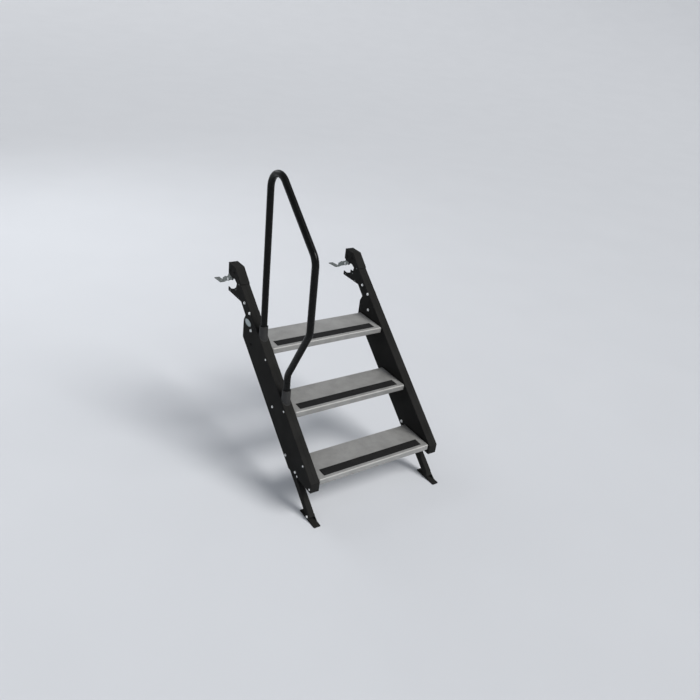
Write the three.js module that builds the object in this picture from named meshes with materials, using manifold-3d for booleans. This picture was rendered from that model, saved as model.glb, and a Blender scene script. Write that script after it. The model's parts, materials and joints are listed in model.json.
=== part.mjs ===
// Hook-on tailgate step: two boxed rails that hook over a bar, three treads, a lift-out handrail,
// telescoping legs with swivel feet, and a swing latch behind each hook.
// Millimetres. +X is across the step, +Y towards the vehicle, +Z up. Feet stand on z = 0.
import * as THREE from 'three';
import { mergeVertices } from 'three/addons/utils/BufferGeometryUtils.js';
import Module from 'manifold-3d';

const wasm = await Module();
wasm.setup();

// ---------------------------------------------------------------- driving dimensions
const TREAD_COUNT = 3;
const TREAD_WIDTH = 610;              // clear width between the two rails
const TREAD_DEPTH = 184;
const TREAD_LIP = 30;                 // height of the folded front and back edges
const TREAD_RETURN = 22;              // how far back the front lip's lower fold reaches
const RISE = 197;
const RUN = 239;
const SHEET = 3;                      // thickness of all folded sheet
const GAP = 0.3;                      // clearance between pieces that touch
const RAIL_WIDTH = 46;
const RAIL_DEPTH = 157;               // measured square to the slope
const RAIL_BOTTOM = -52;
const RAIL_NOSE = -7;                 // front edge of the rail ahead of the bottom tread
const HEAD_TOP = 662;
const HEAD_BACK = 865;
const MOUTH_TOP = 605;                // face that rests on the bar
const JAW_TIP = 858;
const JAW_UNDER = 524.5;
const CAP_THICKNESS = 3.5;
const GRIP_LENGTH = 540;
const GRIP_DEPTH = 43.5;
const GRIP_START = 18;                // behind the tread's front edge
const GRIP_THICKNESS = 1.6;
const TUBE_DIAMETER = 31;             // handrail
const TUBE_WALL = 2.5;
const TUBE_BEND = 70;                 // radius of every bend, at the tube's centre
const HANDRAIL_HEIGHT = 805;          // of the sloping grip, straight above the rail's front face
const POST_LEAN = THREE.MathUtils.degToRad(1.85);
const FRONT_POST_Y = 134.6;           // where the upright front run would meet z = 0
const LOW_BEND_Z = 363;
const HIGH_BEND_Z = 628;
const SOCKET_DIAMETER = 39;
const SOCKET_LENGTH = 100;
const SOCKET_FLOOR = 4;
const SOCKET_RISE = 51;               // above the rail's front face
const SOCKET_SETBACK = 52;            // behind a tread's front edge
const LEG_WIDTH = 27.7;
const LEG_DEPTH = 33.4;
const LEG_WALL = 2.5;
const LEG_TOP = 420;                  // along the slope, from the bottom tread's front edge
const LEG_OUT = 150;                  // how far a leg slides out from where it stands
const LEG_IN = 60;                    // and how far it slides in
const FOOT_LENGTH = 126;
const FOOT_PIN_HEIGHT = 15;           // above the ground
const LATCH_REACH = 1029;             // tip of the latch handle, behind the bottom tread's front edge
const LATCH_X = 334;                  // middle of each latch, from the middle of the step
const BOLT_RADIUS = 4;
const BOLT_HOLE = 4.3;
const BOLT_HEAD = 6.2;                // radius
const BOLT_HEAD_HEIGHT = 5;
const NUT_RADIUS = 6.2;
const CLAMP_ALONG = 165;              // a leg's clamp bolt, up the slope from the bottom tread's front edge
const PAST = 1;                       // how far a cutting solid runs past the face it cuts

// ---------------------------------------------------------------- values worked out from them
const SLOPE = Math.atan2(RISE, RUN);
const INNER = TREAD_WIDTH / 2;        // inner face of a rail
const OUTER = INNER + RAIL_WIDTH;     // outer face of a rail
const MIDDLE = (INNER + OUTER) / 2;
const LEG_BACK = -(RAIL_DEPTH - SHEET - GAP);
const LEG_FRONT = LEG_BACK + LEG_DEPTH;
const LEG_MID = (LEG_BACK + LEG_FRONT) / 2;
const LEG_OUTER_X = OUTER - SHEET - GAP;
const LEG_INNER_X = LEG_OUTER_X - LEG_WIDTH;
const FOOT_PIN_ALONG = (-RISE + FOOT_PIN_HEIGHT - LEG_MID * Math.cos(SLOPE)) / Math.sin(SLOPE);
const SIDES = { left: -1, right: 1 };

// Side-view point [y, z] that is `a` up the slope and `d` square to it, from the bottom tread's edge.
function along(a, d) {
  return [a * Math.cos(SLOPE) - d * Math.sin(SLOPE), a * Math.sin(SLOPE) + d * Math.cos(SLOPE)];
}

const FOOT_PIN = along(FOOT_PIN_ALONG, LEG_MID);
const FOOT_FRONT = FOOT_PIN[0] - FOOT_LENGTH / 2;
const CLAMP_BOLT = along(CLAMP_ALONG, LEG_MID);
const LATCH_PIN = [876, 576];

// ---------------------------------------------------------------- materials
const paint = () => new THREE.MeshStandardMaterial({ color: 0x1c1c1b, roughness: 0.5, metalness: 0.2 });
const sleevePaint = () => new THREE.MeshStandardMaterial({ color: 0x383838, roughness: 0.6 });
const blackTube = () => new THREE.MeshStandardMaterial({ color: 0x141615, roughness: 0.35, metalness: 0.2 });
const greySheet = () => new THREE.MeshStandardMaterial({ color: 0x8f8f8c, roughness: 0.6, metalness: 0.4 });
const gritTape = () => new THREE.MeshStandardMaterial({ color: 0x1e1e1e, roughness: 0.95, metalness: 0 });
const zinc = () => new THREE.MeshStandardMaterial({ color: 0xc9cbca, roughness: 0.3, metalness: 0.9 });
const badgeFace = () => new THREE.MeshStandardMaterial({ color: 0x9fb6b4, roughness: 0.4, metalness: 0.1 });

// ---------------------------------------------------------------- solids
function toSolid(geometry) {
  const bare = geometry.index ? geometry.clone() : geometry;
  bare.deleteAttribute('normal');
  bare.deleteAttribute('uv');
  const merged = mergeVertices(bare);
  const mesh = new wasm.Mesh({
    numProp: 3,
    vertProperties: new Float32Array(merged.attributes.position.array),
    triVerts: new Uint32Array(merged.index.array),
  });
  return new wasm.Manifold(mesh);
}

function toGeometry(solid) {
  const mesh = solid.getMesh();
  const geometry = new THREE.BufferGeometry();
  geometry.setAttribute('position', new THREE.BufferAttribute(mesh.vertProperties, 3));
  geometry.setIndex(new THREE.BufferAttribute(mesh.triVerts, 1));
  geometry.computeVertexNormals();
  return geometry;
}

// A side-view outline of [y, z] points, extruded across the step from x = xa to x = xb.
function slab(points, xa, xb) {
  const shape = new THREE.Shape(points.map(([y, z]) => new THREE.Vector2(y, z)));
  const low = Math.min(xa, xb);
  const geometry = new THREE.ExtrudeGeometry(shape, { depth: Math.abs(xb - xa), bevelEnabled: false });
  const turn = new THREE.Matrix4().makeBasis(
    new THREE.Vector3(0, 1, 0),
    new THREE.Vector3(0, 0, 1),
    new THREE.Vector3(1, 0, 0),
  );
  geometry.applyMatrix4(turn);
  geometry.translate(low, 0, 0);
  return toSolid(geometry);
}

function box(xa, xb, ya, yb, za, zb) {
  return slab([[ya, za], [yb, za], [yb, zb], [ya, zb]], xa, xb);
}

// A round bar across the step, centred on the side-view point [y, z].
function crossBar([y, z], radius, xa, xb, segments = 12) {
  const geometry = new THREE.CylinderGeometry(radius, radius, Math.abs(xb - xa), segments);
  geometry.rotateZ(Math.PI / 2);
  geometry.translate((xa + xb) / 2, y, z);
  return toSolid(geometry);
}

// Points on an arc in the side view, from one angle to another in degrees.
function arc([y, z], radius, from, to, steps) {
  const points = [];
  for (let i = 0; i <= steps; i += 1) {
    const angle = THREE.MathUtils.degToRad(from + ((to - from) * i) / steps);
    points.push([y + radius * Math.cos(angle), z + radius * Math.sin(angle)]);
  }
  return points;
}

// The outline moved inwards by `distance`; the points run anticlockwise.
function inset(points, distance) {
  const count = points.length;
  const edges = points.map(([y, z], i) => {
    const [nextY, nextZ] = points[(i + 1) % count];
    const length = Math.hypot(nextY - y, nextZ - z);
    const dir = [(nextY - y) / length, (nextZ - z) / length];
    return { at: [y - dir[1] * distance, z + dir[0] * distance], dir };
  });
  return edges.map((edge, i) => {
    const before = edges[(i + count - 1) % count];
    const cross = before.dir[0] * edge.dir[1] - before.dir[1] * edge.dir[0];
    const gapY = edge.at[0] - before.at[0];
    const gapZ = edge.at[1] - before.at[1];
    const reach = (gapY * edge.dir[1] - gapZ * edge.dir[0]) / cross;
    return [before.at[0] + before.dir[0] * reach, before.at[1] + before.dir[1] * reach];
  });
}

const root = new THREE.Group();
const stair = new THREE.Group();      // origin at the middle of the bottom tread's top front edge
stair.position.set(0, -(FOOT_FRONT + LATCH_REACH) / 2, RISE);
root.add(stair);

function place(name, shape, material) {
  const geometry = shape instanceof THREE.BufferGeometry ? shape : toGeometry(shape);
  const mesh = new THREE.Mesh(geometry, material);
  mesh.name = name;
  stair.add(mesh);
  return mesh;
}

// ---------------------------------------------------------------- fasteners
// Through bolts and screws, each a side-view point. The bolts cross both faces of a rail.
const HOOK_BOLTS = [[606, 432], [628, 509], [682, 537]];
const HEAD_BOLTS = [[803, 637], [849, 628]];
const SEAM_SCREWS = [along(579, -12), along(330, -12), along(79, -12), along(-22, -27)];
const SEAM_SCREW_RADIUS = 3;
const SEAM_SCREW_HOLE = 3.3;
const TREAD_BOLT_BACK = 123;          // behind a tread's front edge
const TREAD_BOLT_DROP = -31;
const TREAD_BOLTS = Array.from({ length: TREAD_COUNT }, (_, i) => [
  i * RUN + TREAD_BOLT_BACK,
  i * RISE + TREAD_BOLT_DROP,
]);

// A bolt with a head at x = headX and a nut at x = nutX; the shank runs between those faces.
function bolt([y, z], headX, nutX, sizes = {}) {
  const { shank = BOLT_RADIUS, head = BOLT_HEAD, headHeight = BOLT_HEAD_HEIGHT, nut = NUT_RADIUS } = sizes;
  const length = Math.abs(nutX - headX);
  const profile = [
    [0, -headHeight],
    [head * 0.75, -headHeight],
    [head, -headHeight * 0.6],
    [head, 0],
    [shank, 0],
    [shank, length],
    [nut, length],
    [nut, length + headHeight],
    [0, length + headHeight],
  ];
  if (nut === 0) {
    profile.splice(6);
    profile.push([0, length]);
  }
  const geometry = new THREE.LatheGeometry(profile.map(([r, h]) => new THREE.Vector2(r, h)), 8);
  geometry.rotateZ(nutX > headX ? -Math.PI / 2 : Math.PI / 2);
  geometry.translate(headX, y, z);
  return toSolid(geometry);
}

// ---------------------------------------------------------------- rails and hooks
// Side view of a rail with its hook, anticlockwise from the bottom front corner.
function railOutline(bottom) {
  const backEdge = (z) => [(z * Math.cos(SLOPE) + RAIL_DEPTH) / Math.sin(SLOPE), z];
  const frontTop = along(1033, 5);
  return [
    [RAIL_NOSE, bottom],
    backEdge(bottom),
    backEdge((687 * Math.sin(SLOPE) - RAIL_DEPTH) / Math.cos(SLOPE)),
    [687, 451],
    [672, 480],
    [721, JAW_UNDER],
    [JAW_TIP, JAW_UNDER],
    [JAW_TIP, 546],
    [832, 545],
    [800, 557],
    [779, 573],
    [775, 594],
    [795, MOUTH_TOP],
    [846, MOUTH_TOP],
    [HEAD_BACK, 614],
    [HEAD_BACK, HEAD_TOP],
    [frontTop[0] + (HEAD_TOP - frontTop[1]) / Math.tan(SLOPE), HEAD_TOP],
    along(950, 0),
    [RAIL_NOSE, RAIL_NOSE * Math.tan(SLOPE)],
  ];
}

const RAIL_SIDE = railOutline(RAIL_BOTTOM);
const RAIL_CAVITY = inset(railOutline(RAIL_BOTTOM - 3 * SHEET), SHEET);

// The jaw below the mouth is open on top and at its tip: only the two webs and their underside.
const JAW_OPENING = [
  [778, 590],
  [778, 545],
  [795, JAW_UNDER + SHEET],
  [JAW_TIP + PAST, JAW_UNDER + SHEET],
  [JAW_TIP + PAST, 590],
];

// The gap in the head's back corner that the latch bracket comes out through.
const BRACKET_SLOT = [[834, 600], [868, 596], [876, 616], [868, 644], [850, 634]];
const SLOT_HALF = 13;

// Sockets for the handrail: each axis leans with the posts and meets the rail's front face at `at`.
const SOCKETS = [{ name: 'front', tread: 1 }, { name: 'rear', tread: 2 }].map(({ name, tread }) => {
  const y = tread * RUN + SOCKET_SETBACK;
  return { name, at: [y, y * Math.tan(SLOPE)] };
});

// A shape made around the Y axis is stood up on a socket's axis, with its own y = 0 at the rail's face.
function standInSocket(geometry, socket) {
  geometry.rotateX(Math.PI / 2 - POST_LEAN);
  geometry.translate(-MIDDLE, socket.at[0], socket.at[1]);
  return geometry;
}

function railShell(side, near, far, cavityNear, cavityFar) {
  let shell = slab(RAIL_SIDE, side * near, side * far);
  shell = shell.subtract(slab(RAIL_CAVITY, side * cavityNear, side * cavityFar));
  shell = shell.subtract(slab(JAW_OPENING, side * cavityNear, side * cavityFar));
  for (const centre of [...HOOK_BOLTS, ...HEAD_BOLTS, ...TREAD_BOLTS, CLAMP_BOLT]) {
    shell = shell.subtract(crossBar(centre, BOLT_HOLE, side * (near - PAST), side * (far + PAST), 8));
  }
  const slot = slab(BRACKET_SLOT, side * (LATCH_X - SLOT_HALF), side * (LATCH_X + SLOT_HALF));
  return shell.subtract(slot);
}

for (const [label, side] of Object.entries(SIDES)) {
  let outerShell = railShell(side, MIDDLE + GAP / 2, OUTER, MIDDLE - PAST, OUTER - SHEET);
  let innerShell = railShell(side, INNER, MIDDLE - GAP / 2, INNER + SHEET, MIDDLE + PAST);
  const [webInside, webOutside] = [side * (OUTER - SHEET - PAST), side * (OUTER + PAST)];
  for (const centre of SEAM_SCREWS) {
    outerShell = outerShell.subtract(crossBar(centre, SEAM_SCREW_HOLE, webInside, webOutside, 8));
  }
  if (label === 'left') {
    for (const socket of SOCKETS) {
      const radius = SOCKET_DIAMETER / 2 + GAP;
      const cut = toSolid(standInSocket(new THREE.CylinderGeometry(radius, radius, 160, 20), socket));
      outerShell = outerShell.subtract(cut);
      innerShell = innerShell.subtract(cut);
    }
  }
  place(`rail_outer_shell_${label}`, outerShell, paint());
  place(`rail_inner_shell_${label}`, innerShell, paint());
}

// Folded cap over the top and the front of each head, and the thick hook plate inside it.
const HEAD_CORNERS = [15, 16, 17];    // of the rail outline: top back, top front, foot of the cap
const HOOK_PLATE_START = 705;         // up the slope
const HOOK_PLATE_INSET = SHEET + 0.4; // clear of the rail's flanges
const HOOK_PLATE_X = [INNER + 4, INNER + 12];

for (const [label, side] of Object.entries(SIDES)) {
  const under = inset(RAIL_SIDE, -GAP);
  const over = inset(RAIL_SIDE, -GAP - CAP_THICKNESS);
  const cap = [...HEAD_CORNERS.map((i) => under[i]), ...HEAD_CORNERS.map((i) => over[i]).reverse()];
  const flushCap = cap.map(([y, z]) => [Math.min(y, HEAD_BACK), z]);
  place(`hook_cap_${label}`, slab(flushCap, side * INNER, side * OUTER), paint());

  const [plateNear, plateFar] = HOOK_PLATE_X.map((x) => side * x);
  let plate = slab(inset(RAIL_SIDE, HOOK_PLATE_INSET), plateNear, plateFar);
  const lower = [
    along(-200, 100),
    along(-200, -300),
    along(HOOK_PLATE_START, -300),
    along(HOOK_PLATE_START, 100),
  ];
  plate = plate.subtract(slab(lower, side * (INNER + 1), side * OUTER));
  plate = plate.subtract(slab(JAW_OPENING, side * (INNER + 1), side * OUTER));
  for (const centre of [...HOOK_BOLTS, ...HEAD_BOLTS]) {
    plate = plate.subtract(crossBar(centre, BOLT_HOLE, side * INNER, side * MIDDLE, 8));
  }
  place(`hook_plate_${label}`, plate, paint());
}

// ---------------------------------------------------------------- treads and their grip strips
function treadSection() {
  return [
    [TREAD_RETURN, -TREAD_LIP],
    ...arc([6, 6 - TREAD_LIP], 6, 270, 180, 3),
    ...arc([7, -7], 7, 180, 90, 4),
    ...arc([TREAD_DEPTH - 4, -4], 4, 90, 0, 2),
    [TREAD_DEPTH, -TREAD_LIP],
  ];
}

function tread(index) {
  const outside = treadSection();
  const inside = [
    [TREAD_DEPTH - SHEET, -TREAD_LIP],
    [TREAD_DEPTH - SHEET, -5],
    [TREAD_DEPTH - SHEET - 2, -SHEET],
    [8, -SHEET],
    [SHEET, -8],
    [SHEET, 7 - TREAD_LIP],
    [7, SHEET - TREAD_LIP],
    [TREAD_RETURN, SHEET - TREAD_LIP],
  ];
  const tab = [[150, -44], [96, -44], [82, -TREAD_LIP]];
  const shift = ([y, z]) => [y + index * RUN, z + index * RISE];
  const half = INNER - GAP;
  let pan = slab([...outside, ...inside].map(shift), -half, half);
  for (const side of [-1, 1]) {
    let end = slab([...outside, ...tab].map(shift), side * (half - SHEET), side * half);
    end = end.subtract(crossBar(TREAD_BOLTS[index], BOLT_HOLE, side * (half - 5), side * (half + 5), 8));
    pan = pan.add(end);
  }
  return pan;
}

['bottom', 'middle', 'top'].forEach((label, index) => {
  place(`tread_${label}`, tread(index), greySheet());
  const y = index * RUN + GRIP_START;
  const z = index * RISE + GAP;
  const strip = box(-GRIP_LENGTH / 2, GRIP_LENGTH / 2, y, y + GRIP_DEPTH, z, z + GRIP_THICKNESS);
  place(`grip_strip_${label}`, strip, gritTape());
});

// ---------------------------------------------------------------- handrail and its sockets
// A bent tube's centre line. It is sampled at its straight ends and evenly round its bends.
class BentPath extends THREE.Curve {
  constructor(corners, radius, bendStep) {
    super();
    this.points = [];
    this.tangents = [];
    corners.forEach((corner, i) => {
      if (i === 0 || i === corners.length - 1) {
        const neighbour = corners[i === 0 ? 1 : i - 1];
        const away = neighbour.clone().sub(corner).normalize();
        this.addPoint(corner, i === 0 ? away : away.negate());
        return;
      }
      const before = corner.clone().sub(corners[i - 1]).normalize();
      const after = corners[i + 1].clone().sub(corner).normalize();
      const turn = before.angleTo(after);
      const inward = after.clone().sub(before).normalize();
      const centre = corner.clone().addScaledVector(inward, radius / Math.cos(turn / 2));
      const axis = before.clone().cross(after).normalize();
      const spoke = inward.clone().negate().applyAxisAngle(axis, -turn / 2).multiplyScalar(radius);
      const steps = Math.max(2, Math.round(turn / bendStep));
      for (let k = 0; k <= steps; k += 1) {
        const angle = (turn * k) / steps;
        const point = spoke.clone().applyAxisAngle(axis, angle).add(centre);
        this.addPoint(point, before.clone().applyAxisAngle(axis, angle));
      }
    });
  }

  addPoint(point, tangent) {
    this.points.push(point.clone());
    this.tangents.push(tangent.clone());
  }

  get count() {
    return this.points.length - 1;
  }

  getUtoTmapping(u) {
    return u;
  }

  blend(list, t) {
    const spot = Math.min(Math.max(t, 0), 1) * this.count;
    const i = Math.min(Math.floor(spot), this.count - 1);
    return list[i].clone().lerp(list[i + 1], spot - i);
  }

  getPoint(t) {
    return this.blend(this.points, t);
  }

  getTangent(t) {
    return this.blend(this.tangents, t).normalize();
  }
}

function handrail() {
  const lean = Math.tan(POST_LEAN);
  const slope = Math.tan(SLOPE);
  const insertion = SOCKET_LENGTH - SOCKET_RISE - SOCKET_FLOOR - GAP;
  const [frontFoot, rearFoot] = SOCKETS.map(({ at: [y, z] }) => ({
    base: [y - insertion * Math.sin(POST_LEAN), z - insertion * Math.cos(POST_LEAN)],
    ground: y - z * lean,
  }));
  const onGrip = (ground) => {
    const y = (ground + HANDRAIL_HEIGHT * lean) / (1 - slope * lean);
    return [y, HANDRAIL_HEIGHT + y * slope];
  };
  const corners = [
    rearFoot.base,
    onGrip(rearFoot.ground),
    onGrip(FRONT_POST_Y),
    [FRONT_POST_Y + HIGH_BEND_Z * lean, HIGH_BEND_Z],
    [frontFoot.ground + LOW_BEND_Z * lean, LOW_BEND_Z],
    frontFoot.base,
  ].map(([y, z]) => new THREE.Vector3(-MIDDLE, y, z));
  const path = new BentPath(corners, TUBE_BEND, THREE.MathUtils.degToRad(12));
  const ring = new THREE.Shape();
  const bore = new THREE.Path();
  const sides = 16;
  const radius = TUBE_DIAMETER / 2;
  for (let k = 0; k < sides; k += 1) {
    const angle = (2 * Math.PI * (k + 0.5)) / sides;
    const move = k === 0 ? 'moveTo' : 'lineTo';
    ring[move](radius * Math.cos(angle), radius * Math.sin(angle));
    bore[move]((radius - TUBE_WALL) * Math.cos(angle), (radius - TUBE_WALL) * Math.sin(angle));
  }
  ring.holes.push(bore);
  const options = { steps: path.count, bevelEnabled: false, extrudePath: path };
  return toSolid(new THREE.ExtrudeGeometry(ring, options));
}

place('handrail', handrail(), blackTube());

const SCREW_HEIGHT = 36;              // of a socket's set screw, above the rail's face
const SCREW_RADIUS = 3;
const SCREW_HOLE = 3.3;
const SCREW_TIP = 15.9;               // from the socket's axis, just clear of the handrail's post
const DRAIN_RADIUS = 4;               // hole in a socket's floor

for (const socket of SOCKETS) {
  const bottom = SOCKET_RISE - SOCKET_LENGTH;
  const outside = SOCKET_DIAMETER / 2;
  const inside = TUBE_DIAMETER / 2 + GAP;
  const profile = [
    [DRAIN_RADIUS, bottom],
    [outside, bottom],
    [outside, SOCKET_RISE],
    [inside, SOCKET_RISE],
    [inside, bottom + SOCKET_FLOOR],
    [DRAIN_RADIUS, bottom + SOCKET_FLOOR],
    [DRAIN_RADIUS, bottom],
  ];
  const sleeve = new THREE.LatheGeometry(profile.map(([r, h]) => new THREE.Vector2(r, h)), 20);
  const tapping = new THREE.CylinderGeometry(SCREW_HOLE, SCREW_HOLE, outside, 8);
  tapping.rotateX(Math.PI / 2);
  tapping.translate(0, SCREW_HEIGHT, -outside);
  const screwProfile = [
    [0, SCREW_TIP],
    [SCREW_RADIUS, SCREW_TIP],
    [SCREW_RADIUS, outside + GAP],
    [6, outside + GAP],
    [6, 25],
    [4.5, 27],
    [0, 27],
  ];
  const screw = new THREE.LatheGeometry(screwProfile.map(([r, h]) => new THREE.Vector2(r, h)), 10);
  screw.rotateX(-Math.PI / 2);
  screw.translate(0, SCREW_HEIGHT, 0);
  const drilled = toSolid(standInSocket(sleeve, socket)).subtract(toSolid(standInSocket(tapping, socket)));
  place(`handrail_socket_${socket.name}`, drilled, sleevePaint());
  place(`handrail_set_screw_${socket.name}`, toSolid(standInSocket(screw, socket)), zinc());
}

// ---------------------------------------------------------------- latches
const LEVER_HALF = 8.5;
const LEVER_CHEEK = 2.5;
const PADDLE_HALF = 13;
const EAR_THICKNESS = 3;
const EAR_RADIUS = 10;                // round the pin
const [BRIDGE_FRONT, BRIDGE_BACK, BRIDGE_TOP] = [803, 860, 655];   // plate that joins a bracket's ears
const LEVER_THICKNESS = 3.5;
const LATCH_RIVET = { head: 6.5, headHeight: 2.5, nut: 6 };

// A bent strip of even thickness, lying above the side-view line through `points`.
function strip(points, thickness) {
  const lifted = points.map((point, i) => {
    const before = points[Math.max(i - 1, 0)];
    const after = points[Math.min(i + 1, points.length - 1)];
    const length = Math.hypot(after[0] - before[0], after[1] - before[1]);
    const normal = [-(after[1] - before[1]) / length, (after[0] - before[0]) / length];
    return [point[0] + normal[0] * thickness, point[1] + normal[1] * thickness];
  });
  return [...points, ...lifted.reverse()];
}

function latchLever(centre) {
  const spine = [[887, 563], [904, 553], [932, 540], [960, 523]];
  const paddle = [[958, 523], [LATCH_REACH, 517.5]];
  const cheek = [
    ...arc(LATCH_PIN, EAR_RADIUS - 1, 100, 290, 7),
    [904, 553],
    [932, 540],
    [946, 533],
    [944, 553],
    [918, 573],
  ];
  let lever = slab(strip(spine, LEVER_THICKNESS), centre - LEVER_HALF, centre + LEVER_HALF);
  lever = lever.add(slab(strip(paddle, LEVER_THICKNESS), centre - PADDLE_HALF, centre + PADDLE_HALF));
  for (const way of [-1, 1]) {
    const near = centre + way * (LEVER_HALF - LEVER_CHEEK);
    lever = lever.add(slab(cheek, near, centre + way * LEVER_HALF));
  }
  const reach = LEVER_HALF + PAST;
  return lever.subtract(crossBar(LATCH_PIN, BOLT_HOLE, centre - reach, centre + reach, 10));
}

function latchBracket(centre) {
  const ear = [
    [BRIDGE_FRONT, BRIDGE_TOP],
    [787, 627],
    [836, 614.5],
    ...arc(LATCH_PIN, EAR_RADIUS, 225, 400, 7),
    [BRIDGE_BACK, 638],
    [BRIDGE_BACK, BRIDGE_TOP],
  ];
  const inside = LEVER_HALF + GAP;
  const outside = inside + EAR_THICKNESS;
  const bridgeUnder = BRIDGE_TOP - EAR_THICKNESS;
  let bracket = box(centre - outside, centre + outside, BRIDGE_FRONT, BRIDGE_BACK, bridgeUnder, BRIDGE_TOP);
  for (const way of [-1, 1]) {
    bracket = bracket.add(slab(ear, centre + way * inside, centre + way * outside));
  }
  const reach = outside + PAST;
  for (const point of HEAD_BOLTS) {
    bracket = bracket.subtract(crossBar(point, BOLT_HOLE, centre - reach, centre + reach, 8));
  }
  return bracket.subtract(crossBar(LATCH_PIN, BOLT_HOLE, centre - reach, centre + reach, 10));
}

for (const [label, side] of Object.entries(SIDES)) {
  const centre = side * LATCH_X;
  const outside = LEVER_HALF + EAR_THICKNESS + 2 * GAP;
  const pin = bolt(LATCH_PIN, centre + side * outside, centre - side * outside, LATCH_RIVET);
  place(`latch_lever_${label}`, latchLever(centre), zinc());
  place(`latch_bracket_${label}`, latchBracket(centre), zinc());
  place(`latch_pin_${label}`, pin, zinc());
}

// ---------------------------------------------------------------- legs and feet
const GUIDE_START = 112;              // up the slope
const GUIDE_THICKNESS = 3;
const CHEEK = 2.5;
const LEG_END_RADIUS = 11.2;          // rounded end round the foot pin
const LEG_SHOULDER = 20;              // where the rounded end meets the full tube, above the pin
const LEG_PLUG = 30;                  // the tube is solid below this, above the pin
const CHEEK_REACH = 34;               // of the foot's cheeks, each way from the pin
const CHEEK_RADIUS = 9.5;             // of the cheeks round the pin
const SOLE_LAP = 0.5;                 // how far the foot's cheeks run into its sole

// Side-view box that runs along the slope.
function slopeBox(a0, a1, d0, d1) {
  return [along(a0, d0), along(a1, d0), along(a1, d1), along(a0, d1)];
}

const FOOT_BOLT = { head: 5.4, headHeight: 3.5 };

function leg(side) {
  const end = FOOT_PIN_ALONG;
  const roundEnd = [];
  for (let angle = 120; angle <= 240; angle += 20) {
    const turn = THREE.MathUtils.degToRad(angle);
    roundEnd.push(along(end + LEG_END_RADIUS * Math.cos(turn), LEG_MID + LEG_END_RADIUS * Math.sin(turn)));
  }
  const outline = [
    along(end + LEG_SHOULDER, LEG_BACK),
    along(LEG_TOP, LEG_BACK),
    along(LEG_TOP, LEG_FRONT),
    along(end + LEG_SHOULDER, LEG_FRONT),
    ...roundEnd,
  ];
  const slotStart = CLAMP_ALONG - LEG_IN - BOLT_RADIUS - 1;
  const slotEnd = CLAMP_ALONG + LEG_OUT + BOLT_RADIUS + 1;
  const slotHalf = BOLT_HOLE + GAP;
  const slot = slopeBox(slotStart, slotEnd, LEG_MID - slotHalf, LEG_MID + slotHalf);
  const hollow = slopeBox(end + LEG_PLUG, LEG_TOP + PAST, LEG_BACK + LEG_WALL, LEG_FRONT - LEG_WALL);
  const [inside, outside] = [side * (LEG_INNER_X - PAST), side * (LEG_OUTER_X + PAST)];
  let tube = slab(outline, side * LEG_INNER_X, side * LEG_OUTER_X);
  tube = tube.subtract(slab(hollow, side * (LEG_INNER_X + LEG_WALL), side * (LEG_OUTER_X - LEG_WALL)));
  tube = tube.subtract(slab(slot, inside, outside));
  return tube.subtract(crossBar(FOOT_PIN, BOLT_HOLE, inside, outside, 10));
}

// Keeps a leg against the outer web and the back of its rail.
function legGuide(side) {
  const near = side * (INNER + SHEET + GAP);
  const top = LEG_FRONT + GUIDE_THICKNESS;
  const web = slab(slopeBox(GUIDE_START, LEG_TOP, LEG_BACK, top), near, side * (LEG_INNER_X - GAP));
  const front = slab(slopeBox(GUIDE_START, LEG_TOP, LEG_FRONT + GAP, top), near, side * LEG_OUTER_X);
  return web.add(front).subtract(crossBar(CLAMP_BOLT, BOLT_HOLE, side * INNER, side * OUTER, 8));
}

function foot(side) {
  const inner = LEG_INNER_X - GAP - CHEEK;
  const outer = LEG_OUTER_X + GAP + CHEEK;
  const soleTop = SHEET - RISE;
  const cheek = [
    [FOOT_PIN[0] - CHEEK_REACH, soleTop - SOLE_LAP],
    [FOOT_PIN[0] + CHEEK_REACH, soleTop - SOLE_LAP],
    ...arc(FOOT_PIN, CHEEK_RADIUS, 25, 155, 7),
  ];
  let shoe = box(side * inner, side * outer, FOOT_FRONT, FOOT_FRONT + FOOT_LENGTH, -RISE, soleTop);
  for (const [near, far] of [[inner, inner + CHEEK], [outer - CHEEK, outer]]) {
    shoe = shoe.add(slab(cheek, side * near, side * far));
  }
  return shoe.subtract(crossBar(FOOT_PIN, BOLT_HOLE, side * (inner - PAST), side * (outer + PAST), 10));
}

for (const [label, side] of Object.entries(SIDES)) {
  const footOuter = LEG_OUTER_X + 2 * GAP + CHEEK;
  const footInner = LEG_INNER_X - 2 * GAP - CHEEK;
  place(`leg_${label}`, leg(side), paint());
  place(`leg_guide_${label}`, legGuide(side), paint());
  place(`foot_${label}`, foot(side), paint());
  place(`foot_pin_${label}`, bolt(FOOT_PIN, side * footOuter, side * footInner, FOOT_BOLT), zinc());
}

// ---------------------------------------------------------------- bolts, screws and badge
const HEAD_BOLT = { head: 6, nut: 6, headHeight: 4 };
const TREAD_BOLT = { head: 5.4, headHeight: 4 };
const SEAM_SCREW = { shank: SEAM_SCREW_RADIUS, head: 4.8, headHeight: 2.5, nut: 0 };
const SEAM_SCREW_LENGTH = 8;

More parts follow.
